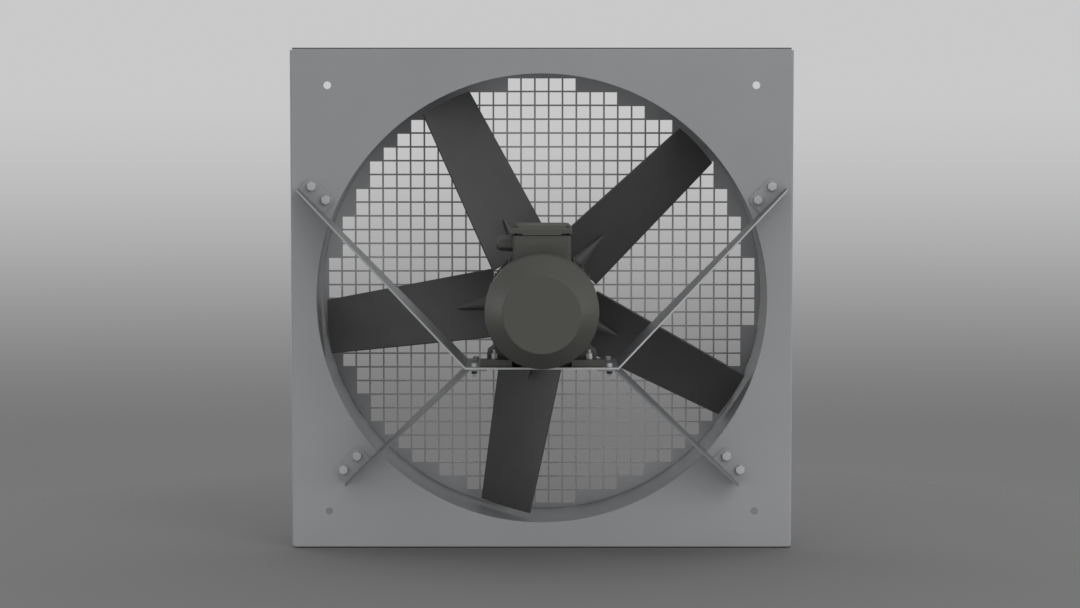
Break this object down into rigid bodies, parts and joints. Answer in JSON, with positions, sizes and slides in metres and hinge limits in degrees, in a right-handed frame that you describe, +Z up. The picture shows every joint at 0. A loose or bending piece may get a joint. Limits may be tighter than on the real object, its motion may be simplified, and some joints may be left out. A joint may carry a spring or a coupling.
{
  "type": "wall-mounted axial fan",
  "caption": "Square-plate axial wall fan: a foot-mounted motor on a bent sheet bracket turns a bladed impeller in a round duct closed at the back by a perforated guard.",
  "frame": {"origin": "centre of the wall bolt pattern on the front face of the wall plate, on the fan's axis", "axes": "+Y along the fan's axis into the wall, +X right and +Z up seen from the motor side"},
  "size_m": [0.72, 0.4317, 0.72],
  "materials": {
    "plate_paint": "grey satin powder coat on folded steel sheet",
    "guard_steel": "grey satin powder coat on perforated steel",
    "motor_paint": "dark olive grey machine enamel on castings",
    "blade_plastic": "moulded charcoal glass-filled plastic",
    "hub_aluminium": "die cast aluminium",
    "zinc_steel": "bright zinc plated steel",
    "bearing_steel": "ground steel",
    "core_steel": "stacked electrical steel",
    "copper": "varnished copper wire",
    "terminal_brass": "turned brass",
    "gland_plastic": "moulded black nylon",
    "seal_rubber": "black rubber"
  },
  "bodies": {
    "frame": {"wall_plate": "plate_paint", "duct_ring": "plate_paint", "guard_sheet": "guard_steel", "guard_screws": "zinc_steel", "guard_nuts": "zinc_steel", "motor_cradle": "plate_paint", "lower_arm_left": "plate_paint", "lower_arm_right": "plate_paint", "plate_bolts": "zinc_steel", "cradle_bolts": "zinc_steel", "plate_nuts": "zinc_steel", "shelf_nuts": "zinc_steel", "motor_foot_left": "motor_paint", "motor_foot_right": "motor_paint", "foot_fixing_screws": "zinc_steel", "foot_bolts": "zinc_steel", "foot_nuts": "zinc_steel", "motor_housing": "motor_paint", "drive_end_shield": "motor_paint", "rear_end_shield": "motor_paint", "tie_bolts": "zinc_steel", "tie_nuts": "zinc_steel", "rear_cover": "motor_paint", "rear_cover_screws": "zinc_steel", "drive_bearing_outer": "bearing_steel", "rear_bearing_outer": "bearing_steel", "preload_spring": "bearing_steel", "stator_core": "core_steel", "stator_windings": "copper", "terminal_box": "motor_paint", "terminal_gasket": "seal_rubber", "terminal_lid": "motor_paint", "terminal_lid_screws": "zinc_steel", "terminal_box_screws": "zinc_steel", "terminal_block": "gland_plastic", "terminal_studs": "terminal_brass", "gland_body": "gland_plastic", "gland_nut": "gland_plastic", "gland_seal": "seal_rubber", "gland_locknut": "gland_plastic"},
    "rotor": {"shaft": "bearing_steel", "hub_key": "bearing_steel", "rotor_core": "core_steel", "rotor_end_rings": "hub_aluminium", "drive_bearing_inner": "bearing_steel", "drive_bearing_balls": "bearing_steel", "rear_bearing_inner": "bearing_steel", "rear_bearing_balls": "bearing_steel", "shaft_seal": "seal_rubber", "hub_front": "hub_aluminium", "hub_rear": "hub_aluminium", "hub_clamp_screws": "zinc_steel", "hub_clamp_nuts": "zinc_steel", "hub_washer": "zinc_steel", "hub_bolt": "zinc_steel", "blade_1": "blade_plastic", "blade_2": "blade_plastic", "blade_3": "blade_plastic", "blade_4": "blade_plastic", "blade_5": "blade_plastic"}
  },
  "joints": [
    {"name": "impeller_spin", "type": "hinge", "parent": "frame", "child": "rotor", "pos_m": [0, 0, 0], "axis": [0, 1, 0], "continuous": true}
  ]
}
